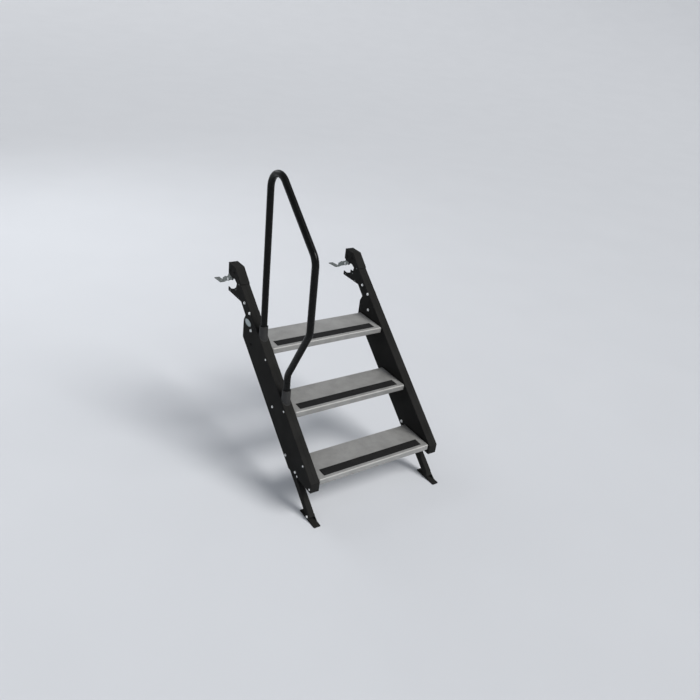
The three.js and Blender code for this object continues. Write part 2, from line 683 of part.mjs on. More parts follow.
for (const [label, side] of Object.entries(SIDES)) {
  const outside = side * (OUTER + GAP);
  const inside = side * (INNER - GAP);
  HOOK_BOLTS.forEach((point, i) => {
    place(`hook_bolt_${label}_${i + 1}`, bolt(point, outside, inside), zinc());
  });
  HEAD_BOLTS.forEach((point, i) => {
    place(`head_bolt_${label}_${i + 1}`, bolt(point, outside, inside, HEAD_BOLT), paint());
  });
  TREAD_BOLTS.forEach((point, i) => {
    const nutFace = side * (INNER - 2 * GAP - SHEET);
    const finish = i === TREAD_COUNT - 1 ? paint() : zinc();     // no bright head shows by the top tread
    place(`tread_bolt_${label}_${i + 1}`, bolt(point, outside, nutFace, TREAD_BOLT), finish);
  });
  SEAM_SCREWS.forEach((point, i) => {
    const screw = bolt(point, outside, side * (OUTER - SEAM_SCREW_LENGTH), SEAM_SCREW);
    place(`seam_screw_${label}_${i + 1}`, screw, zinc());
  });
  place(`leg_clamp_bolt_${label}`, bolt(CLAMP_BOLT, outside, inside, TREAD_BOLT), zinc());
}

const BADGE = { middle: [639, 457], halfLength: 31, halfHeight: 17, thickness: 1.5, sides: 24 };
const badgeEdge = Array.from({ length: BADGE.sides }, (_, i) => {
  const angle = (2 * Math.PI * i) / BADGE.sides;
  return [
    BADGE.middle[0] + BADGE.halfLength * Math.cos(angle),
    BADGE.middle[1] + BADGE.halfHeight * Math.sin(angle),
  ];
});
place('badge_plate', slab(badgeEdge, -OUTER - GAP, -OUTER - GAP - BADGE.thickness), badgeFace());

export default root;
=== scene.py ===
"""The looks of a hook-on tailgate step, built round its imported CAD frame.

Metres, +X across the step, +Y to the vehicle, +Z up. MM turns millimetres into metres.
"""
import json
import math
import random

import bmesh
import bpy
from mathutils import Matrix, Vector


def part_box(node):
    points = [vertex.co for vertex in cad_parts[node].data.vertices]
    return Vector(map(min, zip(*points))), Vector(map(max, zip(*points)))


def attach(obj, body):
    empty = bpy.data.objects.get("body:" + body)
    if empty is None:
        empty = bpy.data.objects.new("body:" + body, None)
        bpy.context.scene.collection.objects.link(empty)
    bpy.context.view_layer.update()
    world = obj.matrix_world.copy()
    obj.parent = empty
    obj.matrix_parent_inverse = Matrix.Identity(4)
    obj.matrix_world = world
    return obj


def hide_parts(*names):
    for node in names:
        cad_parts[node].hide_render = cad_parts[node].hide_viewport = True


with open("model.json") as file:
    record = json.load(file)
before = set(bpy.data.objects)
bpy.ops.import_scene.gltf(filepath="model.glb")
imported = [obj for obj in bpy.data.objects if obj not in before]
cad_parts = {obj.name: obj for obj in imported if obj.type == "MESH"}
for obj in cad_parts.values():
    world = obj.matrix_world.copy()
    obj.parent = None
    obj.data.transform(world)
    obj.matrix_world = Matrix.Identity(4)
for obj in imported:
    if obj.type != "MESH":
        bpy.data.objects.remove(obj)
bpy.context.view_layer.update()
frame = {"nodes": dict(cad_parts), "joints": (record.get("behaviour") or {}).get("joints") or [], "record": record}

# ---------------------------------------------------------------- sizes and places
MM = 0.001
X = Vector((1, 0, 0))
Z = Vector((0, 0, 1))
SIDES = {"left": -1, "right": 1}
TREADS = ("bottom", "middle", "top")
BODY_OF = {n: body for body, nodes in frame["record"]["behaviour"]["bodies"].items() for n in nodes}
JOINTS = {joint["name"]: joint for joint in frame["joints"]}

tread_low, tread_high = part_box("tread_bottom")
EDGE = Vector((0, tread_low.y, tread_high.z))       # middle of the bottom tread's top front edge
next_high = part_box("tread_middle")[1]
RUN = next_high.y - tread_high.y
RISE = next_high.z - tread_high.z
SLOPE = math.atan2(RISE, RUN)
UP_SLOPE = Vector((0, math.cos(SLOPE), math.sin(SLOPE)))
OFF_SLOPE = Vector((0, -math.sin(SLOPE), math.cos(SLOPE)))
RAIL_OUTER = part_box("rail_outer_shell_right")[1].x
RAIL_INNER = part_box("rail_inner_shell_right")[0].x
RAIL_MIDDLE = (RAIL_OUTER + RAIL_INNER) / 2
SHEET = 3 * MM
GAP = 0.3 * MM
FOLD_RADIUS = 2.6 * MM
CAP_FOOT = 948 * MM                                 # the hook cap's lower edge, up the slope
CAP_WELD = (307, 349)                               # its weld's ends, in mm from the middle of the step
SHARP = math.radians(33)                            # edges bent by more than this stay crisp
CORNER = math.radians(28)                           # convex edges bent by more than this can be rounded


def at(x, y, z):
    """A point given in millimetres from the middle of the bottom tread's top front edge."""
    return EDGE + Vector((x, y, z)) * MM


JAW_LOW, JAW_HIGH = at(0, 780, 528), at(0, 859, 590)   # where the hook's jaw has no folded flange


# ---------------------------------------------------------------- materials
def add_node(material, kind, inputs=None, **settings):
    made = material.node_tree.nodes.new(kind)
    for key, value in settings.items():
        setattr(made, key, value)
    for socket, value in (inputs or {}).items():
        if isinstance(value, bpy.types.NodeSocket):
            material.node_tree.links.new(value, made.inputs[socket])
        else:
            made.inputs[socket].default_value = value
    return made


def new_material(name, **constants):
    material = bpy.data.materials.new(name)
    material.use_nodes = True
    shader = material.node_tree.nodes["Principled BSDF"]
    for socket, value in constants.items():
        shader.inputs[socket.replace("_", " ")].default_value = value
    place = add_node(material, "ShaderNodeTexCoord").outputs["Object"]
    return material, shader, place


def noise_of(material, place, size, detail=2.0, roughness=0.5):
    """Noise whose blotches are about `size` metres across."""
    inputs = {"Vector": place, "Scale": 1 / size, "Detail": detail, "Roughness": roughness}
    return add_node(material, "ShaderNodeTexNoise", inputs).outputs["Fac"]


def ramp(material, value, low, high, start=0.0, end=1.0):
    """`value` stretched from start..end to low..high; low and high are numbers or colours."""
    if isinstance(low, (int, float)):
        inputs = {"Value": value, "From Min": start, "From Max": end, "To Min": low, "To Max": high}
        return add_node(material, "ShaderNodeMapRange", inputs).outputs["Result"]
    made = add_node(material, "ShaderNodeValToRGB", {"Fac": value})
    stops = made.color_ramp.elements
    stops[0].position, stops[1].position = start, end
    stops[0].color, stops[1].color = (*low, 1), (*high, 1)
    return made.outputs["Color"]


def mix_colours(material, share, first, second):
    made = add_node(material, "ShaderNodeMix", data_type="RGBA")
    for index, value in ((0, share), (6, first), (7, second)):
        if isinstance(value, bpy.types.NodeSocket):
            material.node_tree.links.new(value, made.inputs[index])
        else:
            made.inputs[index].default_value = (*value, 1)
    return made.outputs[2]


def bump(material, shader, *layers):
    """Each layer is (height socket, depth in metres, strength); they are laid over each other."""
    normal = None
    for height, depth, strength in layers:
        inputs = {"Height": height, "Distance": depth, "Strength": strength}
        if normal is not None:
            inputs["Normal"] = normal
        normal = add_node(material, "ShaderNodeBump", inputs).outputs["Normal"]
    material.node_tree.links.new(normal, shader.inputs["Normal"])


def drive(material, shader, socket, value):
    material.node_tree.links.new(value, shader.inputs[socket])


def worn_edges(material, place, colour, worn, amount):
    """Mixes `worn` into `colour` in broken patches on rounded edges, which carry a "wear" attribute."""
    edge = add_node(material, "ShaderNodeAttribute", attribute_name="wear").outputs["Fac"]
    patches = ramp(material, noise_of(material, place, 9 * MM, 4), 0.0, amount, 0.48, 0.66)
    share = add_node(material, "ShaderNodeMath", {0: edge, 1: patches}, operation="MULTIPLY").outputs[0]
    return mix_colours(material, share, colour, worn)


def powder_coat(name, dark, light, roughness, grain, grain_depth, gloss):
    material, shader, place = new_material(name, Metallic=0.0, Specular_IOR_Level=gloss)
    clouds = noise_of(material, place, 90 * MM, 3)
    colour = ramp(material, clouds, dark, light, 0.35, 0.68)
    drive(material, shader, "Base Color", worn_edges(material, place, colour, (0.035, 0.034, 0.032), 0.4))
    drive(material, shader, "Roughness", ramp(material, clouds, roughness - 0.05, roughness + 0.06, 0.3, 0.7))
    peel = noise_of(material, place, grain, 2)
    fine = noise_of(material, place, grain / 4, 1)
    bump(material, shader, (peel, grain_depth, 0.5), (fine, grain_depth / 4, 0.35))
    return material


def tread_metal():
    material, shader, place = new_material("tread_metal", Metallic=0.35, Specular_IOR_Level=0.4)
    speckle = noise_of(material, place, 1.6 * MM, 3, 0.7)
    clouds = noise_of(material, place, 55 * MM, 4, 0.6)
    fine = ramp(material, speckle, (0.248, 0.248, 0.242), (0.405, 0.405, 0.396), 0.3, 0.72)
    broad = ramp(material, clouds, (0.267, 0.267, 0.258), (0.382, 0.382, 0.374), 0.34, 0.66)
    colour = mix_colours(material, ramp(material, speckle, 0.3, 0.5), broad, fine)
    drive(material, shader, "Base Color", worn_edges(material, place, colour, (0.55, 0.55, 0.54), 0.6))
    drive(material, shader, "Roughness", ramp(material, clouds, 0.46, 0.6, 0.3, 0.7))
    pits = noise_of(material, place, 0.7 * MM, 1)
    bump(material, shader, (speckle, 0.12 * MM, 0.4), (pits, 0.05 * MM, 0.4))
    return material


def grit_tape():
    material, shader, place = new_material("grit_tape", Metallic=0.0, Specular_IOR_Level=0.2)
    inputs = {"Vector": place, "Scale": 1 / (0.9 * MM), "Randomness": 1.0}
    grains = add_node(material, "ShaderNodeTexVoronoi", inputs)
    shade = add_node(material, "ShaderNodeSeparateColor", {"Color": grains.outputs["Color"]}).outputs["Red"]
    colour = ramp(material, shade, (0.005, 0.005, 0.0053), (0.02, 0.02, 0.0205), 0.2, 1.0)
    scuffs = ramp(material, noise_of(material, place, 30 * MM, 5), 0.0, 0.35, 0.52, 0.75)
    drive(material, shader, "Base Color", mix_colours(material, scuffs, colour, (0.026, 0.0255, 0.025)))
    drive(material, shader, "Roughness", ramp(material, shade, 0.72, 0.98))
    dust = noise_of(material, place, 0.4 * MM)
    bump(material, shader, (grains.outputs["Distance"], 0.35 * MM, 0.6), (dust, 0.1 * MM, 0.5))
    return material


def plated(name, dull, bright, roughness, metallic):
    material, shader, place = new_material(name, Metallic=metallic)
    spangle = noise_of(material, place, 5 * MM, 4, 0.65)
    colour = ramp(material, spangle, dull, bright, 0.3, 0.7)
    drive(material, shader, "Base Color", colour)
    dullness = ramp(material, spangle, roughness + 0.08, roughness - 0.06, 0.3, 0.7)
    drive(material, shader, "Roughness", dullness)
    inputs = {"Vector": place, "Location": (0, 0, 0), "Scale": (1.0, 12.0, 12.0)}
    drawn = add_node(material, "ShaderNodeMapping", inputs).outputs["Vector"]
    bump(material, shader, (noise_of(material, drawn, 2.5 * MM, 3), 0.03 * MM, 0.35))
    return material


def badge_enamel():
    material, shader, place = new_material("badge_face", Metallic=0.0, Coat_Weight=0.4, Coat_Roughness=0.12)
    clouds = noise_of(material, place, 14 * MM, 3)
    colour = ramp(material, clouds, (0.22, 0.285, 0.3), (0.3, 0.35, 0.36), 0.3, 0.7)
    drive(material, shader, "Base Color", colour)
    drive(material, shader, "Roughness", ramp(material, clouds, 0.28, 0.4))
    bump(material, shader, (noise_of(material, place, 1.2 * MM), 0.03 * MM, 0.25))
    return material


LOOKS = {
    "black_paint": powder_coat(
        "black_paint", dark=(0.0172, 0.0172, 0.0167), light=(0.023, 0.0229, 0.0221),
        roughness=0.5, grain=1.5 * MM, grain_depth=0.07 * MM, gloss=0.006,
    ),
    "sleeve_paint": powder_coat(
        "sleeve_paint", dark=(0.028, 0.028, 0.028), light=(0.035, 0.035, 0.035),
        roughness=0.55, grain=1.5 * MM, grain_depth=0.07 * MM, gloss=0.25,
    ),
    "rail_tube": powder_coat(
        "rail_tube", dark=(0.004, 0.0043, 0.0042), light=(0.0055, 0.0058, 0.0056),
        roughness=0.27, grain=2.6 * MM, grain_depth=0.04 * MM, gloss=0.12,
    ),
    "tread_metal": tread_metal(),
    "grit_tape": grit_tape(),
    "zinc_plate": plated("zinc_plate", (0.11, 0.125, 0.12), (0.19, 0.21, 0.2), 0.42, 0.75),
    "bright_bolt": plated("bright_bolt", (0.8, 0.81, 0.8), (0.93, 0.94, 0.93), 0.3, 0.45),
    "badge_face": badge_enamel(),
}


# ---------------------------------------------------------------- mesh building
def loft(mesh, rings, close_path=False, cap=True):
    """Joins rings of points, which all have the same count, with faces."""
    rows = [[mesh.verts.new(point) for point in ring] for ring in rings]
    pairs = list(zip(rows, rows[1:]))
    if close_path:
        pairs.append((rows[-1], rows[0]))
    count = len(rows[0])
    for first, second in pairs:
        for i in range(count):
            k = (i + 1) % count
            mesh.faces.new((first[i], first[k], second[k], second[i]))
    if cap and not close_path:
        mesh.faces.new(reversed(rows[0]))
        mesh.faces.new(rows[-1])


def across(direction):
    """Two unit vectors square to `direction` and to each other."""
    side = direction.cross(X if abs(direction.x) < 0.9 else Z).normalized()
    return side, direction.cross(side).normalized()


def circle(centre, direction, radius, count):
    side, other = across(direction)
    turns = [2 * math.pi * i / count for i in range(count)]
    if not callable(radius):
        return [centre + (side * math.cos(t) + other * math.sin(t)) * radius for t in turns]
    return [centre + (side * math.cos(t) + other * math.sin(t)) * radius(t) for t in turns]


def turned(mesh, origin, direction, profile, count=32, close=False):
    """A turned shape from (radius, height) pairs along `direction`; a closed profile makes a ring."""
    rings = [circle(origin + direction * h, direction, max(r, 0.02 * MM), count) for r, h in profile]
    loft(mesh, rings, close_path=close, cap=not close)


def hexagon_radius(apothem):
    """Distance from the middle of a hexagon to its side, by angle."""
    sector = math.pi / 3
    return lambda turn: apothem / math.cos((turn + sector / 2) % sector - sector / 2)


def hexagon(mesh, origin, direction, flats, height, count=36):
    """A hexagon head or nut with a chamfered top, from `origin` along `direction`."""
    side = hexagon_radius(flats / 2)
    crown = flats / 2 * 0.94
    rings = [circle(origin, direction, side, count)]
    axes = across(direction)
    chamfered = []
    for i in range(count):
        turn = 2 * math.pi * i / count
        reach = side(turn)
        drop = (reach - crown) * math.tan(math.radians(30))
        spoke = axes[0] * math.cos(turn) + axes[1] * math.sin(turn)
        chamfered.append(origin + spoke * reach + direction * (height - drop))
    rings.append(chamfered)
    rings.append(circle(origin + direction * height, direction, crown, count))
    rings.append(circle(origin + direction * height, direction, crown * 0.3, count))
    loft(mesh, rings)


def washer(mesh, origin, direction, inside, outside, thickness):
    edge = thickness * 0.25
    profile = [
        (inside, 0), (outside - edge, 0), (outside, edge), (outside, thickness - edge),
        (outside - edge, thickness), (inside, thickness),
    ]
    turned(mesh, origin, direction, profile, 36, close=True)


def sweep(mesh, path, tangents, radius, count, close=False, cap=True):
    """A round bar along a path; `radius` is a number or one number per point."""
    rings = []
    for i, (point, tangent) in enumerate(zip(path, tangents)):
        reach = radius[i] if isinstance(radius, list) else radius
        side = tangent.cross(X)
        if side.length < 0.2:
            side = tangent.cross(Z)
        side = side.normalized()
        other = tangent.cross(side).normalized()
        turns = [2 * math.pi * k / count for k in range(count)]
        rings.append([point + (side * math.cos(t) + other * math.sin(t)) * reach for t in turns])
    loft(mesh, rings, close_path=close, cap=cap)


def bead(mesh, path, size, seed, closed=False):
    """A weld bead: a low swollen bar whose thickness ripples along the path."""
    rng = random.Random(seed)
    count = len(path)
    tangents = []
    for i in range(count):
        before = path[i - 1] if closed or i else path[0]
        after = path[(i + 1) % count] if closed or i < count - 1 else path[-1]
        tangents.append((after - before).normalized())
    radii = [size * (0.9 + 0.14 * math.sin(i * 1.9) + rng.uniform(-0.06, 0.06)) for i in range(count)]
    if not closed:
        radii[0] = radii[-1] = size * 0.35
    sweep(mesh, path, tangents, radii, 10, close=closed)


def line(start, end, step):
    count = max(4, round((end - start).length / step))
    return [start.lerp(end, i / count) for i in range(count + 1)]


def piece(name, mesh, look, body, nodes=()):
    """Makes an object of a bmesh, gives it its finish and body, and hides the CAD nodes it stands for."""
    bmesh.ops.recalc_face_normals(mesh, faces=mesh.faces)
    for face in mesh.faces:
        face.smooth = True
    for edge in mesh.edges:
        edge.smooth = edge.is_manifold and edge.calc_face_angle(0) < SHARP
    data = bpy.data.meshes.new(name)
    mesh.to_mesh(data)
    mesh.free()
    made = bpy.data.objects.new(name, data)
    bpy.context.scene.collection.objects.link(made)
    data.materials.append(LOOKS[look])
    normals = made.modifiers.new("even normals", "WEIGHTED_NORMAL")
    normals.keep_sharp = True
    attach(made, body)
    if nodes:
        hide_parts(*nodes)
    return made


# ---------------------------------------------------------------- CAD shapes with rounded edges
def cad_mesh(node):
    """A node's shape with its corners joined up and its flat faces merged."""
    mesh = bmesh.new()
    mesh.from_mesh(frame["nodes"][node].data)
    bmesh.ops.remove_doubles(mesh, verts=mesh.verts, dist=0.01 * MM)
    bmesh.ops.dissolve_limit(mesh, angle_limit=math.radians(0.4), verts=mesh.verts, edges=mesh.edges)
    return mesh


def is_corner(edge):
    return edge.is_manifold and edge.calc_face_angle_signed(0) > CORNER


def round_edges(mesh, chosen, radius, segments=3):
    """Rounds the convex edges that `chosen` accepts, and marks the new faces as edges that wear."""
    wear = mesh.faces.layers.float.get("wear") or mesh.faces.layers.float.new("wear")
    edges = [edge for edge in mesh.edges if is_corner(edge) and chosen(edge)]
    made = bmesh.ops.bevel(
        mesh, geom=edges, offset=radius, offset_type="OFFSET", segments=segments,
        profile=0.5, affect="EDGES", clamp_overlap=True,
    )
    for face in made["faces"]:
        face[wear] = 1.0


def any_edge(edge):
    return edge.calc_length() > 0.8 * MM


def direction_of(edge):
    return (edge.verts[1].co - edge.verts[0].co).normalized()


def rail_shells():
    for label in SIDES:
        for kind, web in (("outer", RAIL_OUTER), ("inner", RAIL_INNER)):
            node = f"rail_{kind}_shell_{label}"
            mesh = cad_mesh(node)

            def on_web(face):
                return abs(face.normal.x) > 0.99 and abs(abs(face.calc_center_median().x) - web) < 0.1 * MM

            def open_jaw(edge):
                middle = (edge.verts[0].co + edge.verts[1].co) / 2
                return all(low < place < high for low, place, high in zip(JAW_LOW.yz, middle.yz, JAW_HIGH.yz))

            def fold(edge):
                meets_web = any(on_web(face) for face in edge.link_faces)
                return edge.calc_length() > 6 * MM and meets_web and not open_jaw(edge)

            def seam(edge):
                middles = [abs(vert.co.x) for vert in edge.verts]
                long_enough = edge.calc_length() > 6 * MM
                return long_enough and all(abs(m - RAIL_MIDDLE) < 0.4 * MM for m in middles)

            round_edges(mesh, fold, FOLD_RADIUS, 4)
            round_edges(mesh, seam, 0.7 * MM, 2)
            round_edges(mesh, open_jaw, 0.6 * MM, 2)
            piece(f"{node}_sheet", mesh, "black_paint", BODY_OF[node], [node])


def hook_caps():
    for label, side in SIDES.items():
        node = f"hook_cap_{label}"
        mesh = cad_mesh(node)

        def fold(edge):
            return abs(direction_of(edge).x) > 0.99 and edge.calc_face_angle(0) < math.radians(75)

        round_edges(mesh, fold, 4 * MM, 4)
        round_edges(mesh, any_edge, 0.6 * MM, 2)
        piece(f"{node}_sheet", mesh, "black_paint", BODY_OF[node], [node])
        start, end = (at(side * x, 0, 0) + UP_SLOPE * CAP_FOOT for x in CAP_WELD)
        weld = bmesh.new()
        bead(weld, line(start, end, 1.3 * MM), 1.7 * MM, seed=31 + side)
        piece(f"cap_weld_{label}", weld, "black_paint", "frame")


def plain_edges(node, look, radius=0.5 * MM, first=None):
    """A CAD shape carried over with small rounded edges; `first` may round some of them more."""
    mesh = cad_mesh(node)
    if first:
        first(mesh)
    round_edges(mesh, any_edge, radius, 2)
    return piece(f"{node}_fine", mesh, look, BODY_OF[node], [node])


# ---------------------------------------------------------------- treads
TREAD_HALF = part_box("tread_bottom")[1].x
TREAD_DEPTH = tread_high.y - tread_low.y
TREAD_LIP = 30 * MM
NOSE_RADIUS = 7 * MM
RETURN_LIP = 22 * MM
BOLT_TAB = ((82, -29), (96, -44), (150, -44), (176, -29))   # (y, z) in mm, hanging from each end


def cut(mesh, cutter, operation="DIFFERENCE"):
    """`mesh` with `cutter` taken out of it or joined to it."""
    work = []
    for source in (mesh, cutter):
        bmesh.ops.recalc_face_normals(source, faces=source.faces)
        data = bpy.data.meshes.new("work")
        source.to_mesh(data)
        source.free()
        work.append(bpy.data.objects.new("work", data))
        bpy.context.scene.collection.objects.link(work[-1])
    modifier = work[0].modifiers.new("cut", "BOOLEAN")
    modifier.operation, modifier.object, modifier.solver = operation, work[1], "EXACT"
    result = bmesh.new()
    result.from_object(work[0], bpy.context.evaluated_depsgraph_get())
    for made in work:
        bpy.data.objects.remove(made)
    return result


def tread_section(shrink):
    """The tread's outer section as (y, z), drawn in by `shrink` at its front, back and top."""
    y0, y1 = shrink, TREAD_DEPTH - shrink
    z0, z1 = -TREAD_LIP, -shrink
    corners = ((y0, z0, 6 * MM, 180), (y1, z0, 1 * MM, 270), (y1, z1, 4 * MM, 0), (y0, z1, NOSE_RADIUS, 90))
    points = []
    for y, z, full, turn in corners:
        radius = max(full - shrink, 0.3 * MM)
        cy = y + radius if y == y0 else y - radius
        cz = z + radius if z == z0 else z - radius
        for k in range(9):
            angle = math.radians(turn + 90 * k / 8)
            points.append((cy + radius * math.cos(angle), cz + radius * math.sin(angle)))
    return points


def tread_pan(index):
    origin = EDGE + Vector((0, index * RUN, index * RISE))

    def place(x, points):
        return [origin + Vector((x, y, z)) for y, z in points]

    steps = 6
    ends = []
    for k in range(steps + 1):
        angle = math.pi / 2 * k / steps
        reach = TREAD_HALF - NOSE_RADIUS * (1 - math.sin(angle))
        ends.append((reach, tread_section(NOSE_RADIUS * (1 - math.cos(angle)))))
    rings = [place(-x, points) for x, points in reversed(ends)] + [place(x, points) for x, points in ends]
    block = bmesh.new()
    loft(block, rings)
    low, top = -TREAD_LIP + SHEET, -SHEET
    below = -TREAD_LIP - SHEET
    back = TREAD_DEPTH - SHEET
    hollow = [
        (SHEET, low), (RETURN_LIP, low), (RETURN_LIP, below), (back, below), (back, top),
        (2.6 * SHEET, top), (SHEET, 2.6 * top),
    ]
    inside = bmesh.new()
    loft(inside, [place(x, hollow) for x in (-TREAD_HALF + SHEET, TREAD_HALF - SHEET)])
    pan = cut(block, inside)
    tab = [(y * MM, z * MM) for y, z in BOLT_TAB]
    for side in (-1, 1):
        plate = bmesh.new()
        loft(plate, [place(side * x, tab) for x in (TREAD_HALF - SHEET, TREAD_HALF)])
        round_edges(plate, any_edge, 0.4 * MM, 1)
        pan = cut(pan, plate, "UNION")
    return pan


def grip_strip(node, seed):
    """A strip of grit tape whose top is a field of standing grains."""
    low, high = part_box(node)
    pitch = 1.5 * MM
    across_count = round((high.x - low.x) / pitch)
    deep_count = round((high.y - low.y) / pitch)
    rng = random.Random(seed)
    mesh = bmesh.new()
    rows = []
    for j in range(deep_count + 1):
        row = []
        for i in range(across_count + 1):
            at_rim = i in (0, across_count) or j in (0, deep_count)
            jitter = 0 if at_rim else 0.3 * pitch
            x = low.x + (high.x - low.x) * i / across_count + rng.uniform(-jitter, jitter)
            y = low.y + (high.y - low.y) * j / deep_count + rng.uniform(-jitter, jitter)
            drop = 0.75 * MM if at_rim else rng.uniform(0, 0.5) * MM
            row.append(mesh.verts.new((x, y, high.z - drop)))
        rows.append(row)
    for j in range(deep_count):
        for i in range(across_count):
            mesh.faces.new((rows[j][i], rows[j][i + 1], rows[j + 1][i + 1], rows[j + 1][i]))
    rim = rows[0] + [row[-1] for row in rows[1:]]
    rim += rows[-1][-2::-1] + [row[0] for row in rows[-2:0:-1]]
    feet = [mesh.verts.new((vert.co.x, vert.co.y, low.z)) for vert in rim]
    for i, vert in enumerate(rim):
        k = (i + 1) % len(rim)
        mesh.faces.new((vert, feet[i], feet[k], rim[k]))
    mesh.faces.new(feet)
    piece(f"{node}_grit", mesh, "grit_tape", BODY_OF[node], [node])


def treads():
    for index, label in enumerate(TREADS):
        node = f"tread_{label}"
        piece(f"{node}_pan", tread_pan(index), "tread_metal", BODY_OF[node], [node])
        grip_strip(f"grip_strip_{label}", seed=index)


# ---------------------------------------------------------------- handrail and its sockets
HANDRAIL_X = -RAIL_MIDDLE
handrail_low, handrail_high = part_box("handrail")
TUBE_RADIUS = (handrail_high.x - handrail_low.x) / 2 - 0.2 * MM
TUBE_WALL = 2.5 * MM
TUBE_BEND = 70 * MM
GRIP_HEIGHT = 805 * MM                # of the sloping grip, straight above the rail's front face
FRONT_POST = 134.6 * MM               # where the upright front run would meet the tread's level
LOW_BEND, HIGH_BEND = 363 * MM, 628 * MM
SOCKET_RADIUS = 19.5 * MM
SOCKET_RISE, SOCKET_DEPTH, SOCKET_FLOOR = 51 * MM, 49 * MM, 4 * MM
SOCKET_SETBACK = 52 * MM
AXIS = Vector(JOINTS["handrail_lift"]["axis"]).normalized()
LEAN = math.atan2(AXIS.y, AXIS.z)
REARWARD = Vector((0, math.cos(LEAN), -math.sin(LEAN)))
SOCKET_FEET = [i * RUN + SOCKET_SETBACK for i in (1, 2)]


def rounded_path(corners, radius, step=math.radians(5)):
    """Points and tangents of a path whose inner corners are arcs."""
    points, tangents = [corners[0]], [(corners[1] - corners[0]).normalized()]
    for before, corner, after in zip(corners, corners[1:], corners[2:]):
        arriving, leaving = (corner - before).normalized(), (after - corner).normalized()
        turn = arriving.angle(leaving)
        inward = (leaving - arriving).normalized()
        centre = corner + inward * (radius / math.cos(turn / 2))
        axis = arriving.cross(leaving).normalized()
        count = max(3, round(turn / step))
        for k in range(count + 1):
            spoke = Matrix.Rotation(turn * (k / count - 0.5), 3, axis) @ -inward
            points.append(centre + spoke * radius)
            tangents.append(axis.cross(spoke).normalized())
    points.append(corners[-1])
    tangents.append((corners[-1] - corners[-2]).normalized())
    return points, tangents


def on_rail(y):
    """The point of the left rail's front face at `y` behind the bottom tread's edge."""
    return EDGE + Vector((HANDRAIL_X, y, y * math.tan(SLOPE)))


def handrail():
    lean, slope = math.tan(LEAN), math.tan(SLOPE)
    insertion = SOCKET_DEPTH - SOCKET_FLOOR - GAP

    def post(ground, height):
        return EDGE + Vector((HANDRAIL_X, ground + height * lean, height))

    def at_grip(ground):
        y = (ground + GRIP_HEIGHT * lean) / (1 - slope * lean)
        return EDGE + Vector((HANDRAIL_X, y, GRIP_HEIGHT + y * slope))

    front, rear = SOCKET_FEET
    ground_front, ground_rear = (y - y * slope * lean for y in SOCKET_FEET)
    corners = [
        on_rail(rear) - AXIS * insertion,
        at_grip(ground_rear),
        at_grip(FRONT_POST),
        post(FRONT_POST, HIGH_BEND),
        post(ground_front, LOW_BEND),
        on_rail(front) - AXIS * insertion,
    ]
    points, tangents = rounded_path(corners, TUBE_BEND)
    rings = []
    forward = range(len(points))
    for radius, stations in ((TUBE_RADIUS, forward), (TUBE_RADIUS - TUBE_WALL, reversed(forward))):
        for i in stations:
            side = X.cross(tangents[i])
            turns = [2 * math.pi * k / 40 for k in range(40)]
            rings.append([points[i] + (X * math.cos(t) + side * math.sin(t)) * radius for t in turns])
    mesh = bmesh.new()
    loft(mesh, rings, close_path=True)
    piece("handrail_tube", mesh, "rail_tube", BODY_OF["handrail"], ["handrail"])


def sockets():
    for name, y in zip(("front", "rear"), SOCKET_FEET):
        foot = on_rail(y)
        bore = TUBE_RADIUS + 2 * GAP
        inner_floor = SOCKET_FLOOR - SOCKET_DEPTH
        drain = 4 * MM
        profile = [
            (bore, inner_floor), (bore, SOCKET_RISE - 1.6 * MM), (bore + 1.4 * MM, SOCKET_RISE),
            (SOCKET_RADIUS - 0.9 * MM, SOCKET_RISE), (SOCKET_RADIUS, SOCKET_RISE - 0.9 * MM),
            (SOCKET_RADIUS, 1 * MM - SOCKET_DEPTH), (SOCKET_RADIUS - 1 * MM, -SOCKET_DEPTH),
            (drain, -SOCKET_DEPTH), (drain, inner_floor),
        ]
        sleeve = bmesh.new()
        turned(sleeve, foot, AXIS, profile, 48, close=True)
        node = f"handrail_socket_{name}"
        piece(f"{node}_sleeve", sleeve, "sleeve_paint", BODY_OF[node], [node])

        ring = []
        for k in range(96):
            turn = 2 * math.pi * k / 96
            spoke = (X * math.cos(turn) + REARWARD * math.sin(turn)) * (SOCKET_RADIUS + 0.5 * MM)
            rise = -OFF_SLOPE.dot(spoke) / OFF_SLOPE.dot(AXIS)
            ring.append(foot + spoke + AXIS * rise)
        weld = bmesh.new()
        bead(weld, ring, 2.3 * MM, seed=len(name), closed=True)
        piece(f"socket_weld_{name}", weld, "sleeve_paint", "frame")

        screw = bmesh.new()
        seat = foot + AXIS * 36 * MM + REARWARD * (SOCKET_RADIUS + 0.2 * MM)
        washer(screw, seat, REARWARD, 3 * MM, 5.6 * MM, 1 * MM)
        hexagon(screw, seat + REARWARD * 1 * MM, REARWARD, 9 * MM, 5.4 * MM)
        shank = [(2.6 * MM, 0), (3 * MM, 0.4 * MM), (3 * MM, 5 * MM)]
        turned(screw, seat - REARWARD * 3.6 * MM, REARWARD, shank, 20)
        node = f"handrail_set_screw_{name}"
        piece(f"{node}_hex", screw, "bright_bolt", BODY_OF[node], [node])


# ---------------------------------------------------------------- fasteners
def thread(mesh, origin, direction, radius, length):
    """The end of a threaded shank: ridges and a chamfered tip."""
    pitch = 1.25 * MM
    profile = [(radius * 0.9, 0)]
    turns = max(1, int(length / pitch))
    for i in range(turns):
        profile.append((radius, (i + 0.4) * pitch))
        profile.append((radius * 0.88, (i + 0.9) * pitch))
    profile.append((radius * 0.75, length))
    turned(mesh, origin, direction, profile, 20)


def button(mesh, origin, direction, radius, height):
    """A domed head with a round drive recess."""
    profile = [(radius, 0), (radius, height * 0.25)]
    for k in range(1, 6):
        angle = math.radians(15 * k)
        profile.append((radius * (0.32 + 0.68 * math.cos(angle)), height * (0.25 + 0.75 * math.sin(angle))))
    profile += [(radius * 0.34, height), (radius * 0.3, height * 0.45)]
    turned(mesh, origin, direction, profile, 32)


